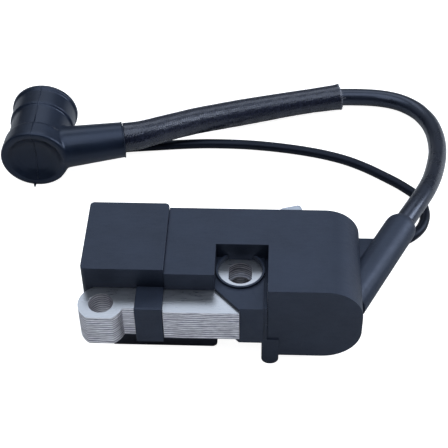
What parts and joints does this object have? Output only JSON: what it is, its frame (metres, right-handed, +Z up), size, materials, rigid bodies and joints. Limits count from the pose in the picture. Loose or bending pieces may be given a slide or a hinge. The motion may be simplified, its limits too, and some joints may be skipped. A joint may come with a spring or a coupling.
{
  "type": "ignition coil",
  "caption": "Small-engine flywheel ignition coil: laminated steel core, moulded coil case, HT lead with woven sleeve and swivelling plug boot, thin stop wire.",
  "frame": {"origin": "axis of the screw hole in the pole foot, on the underside of the core", "axes": "+Z up along both screw holes, +X along the core from the pole foot to the coil block, +Y away from the flywheel"},
  "size_m": [0.1406, 0.1203, 0.0305],
  "materials": {
    "core_steel": "silicon steel sheet with punched edges",
    "rivet_steel": "plain",
    "case_plastic": "glass-filled nylon, fine sparked texture",
    "cap_plastic": "glass-filled nylon, fine sparked texture",
    "tray_plastic": "smooth moulded",
    "resin": "cast epoxy",
    "bobbin_nylon": "natural nylon",
    "magnet_wire": "enamelled copper wire",
    "board": "solder mask",
    "capacitor_coat": "dipped epoxy",
    "component_black": "moulded epoxy",
    "resistor_coat": "lacquer",
    "brass": "plain",
    "tab_steel": "tin plated",
    "gland_rubber": "smooth",
    "lead_jacket": "glossy extruded",
    "sleeve_braid": "varnished glass-fibre braid",
    "wire_jacket": "extruded PVC",
    "boot_rubber": "moulded silicone",
    "spring_steel": "zinc plated"
  },
  "bodies": {
    "coil": {"core_sheets": "core_steel", "core_rivets": "rivet_steel", "core_strap": "case_plastic", "mount_collar": "case_plastic", "coil_case": "case_plastic", "left_cap": "cap_plastic", "module_tray": "tray_plastic", "module_resin": "resin", "coil_resin": "resin", "charge_bobbin": "bobbin_nylon", "charge_winding": "magnet_wire", "trigger_bobbin": "bobbin_nylon", "trigger_winding": "magnet_wire", "primary_bobbin": "bobbin_nylon", "primary_winding": "magnet_wire", "secondary_bobbin": "bobbin_nylon", "secondary_winding": "magnet_wire", "circuit_board": "board", "storage_capacitor": "capacitor_coat", "thyristor": "component_black", "diodes": "component_black", "resistors": "resistor_coat", "ht_post": "brass", "earth_tab": "tab_steel", "wire_gland": "gland_rubber", "ht_lead": "lead_jacket", "lead_sleeve": "sleeve_braid", "lead_end": "lead_jacket", "stop_wire": "wire_jacket", "terminal_sleeve": "wire_jacket", "wire_terminal": "brass"},
    "boot": {"plug_boot": "boot_rubber", "boot_pin": "brass", "plug_spring": "spring_steel"}
  },
  "joints": [
    {"name": "boot_swivel", "type": "hinge", "parent": "coil", "child": "boot", "pos_m": [-0.02975, 0.07434, -0.00145], "axis": [0.9759, 0.2181, 0], "range_deg": [-90, 90]}
  ]
}
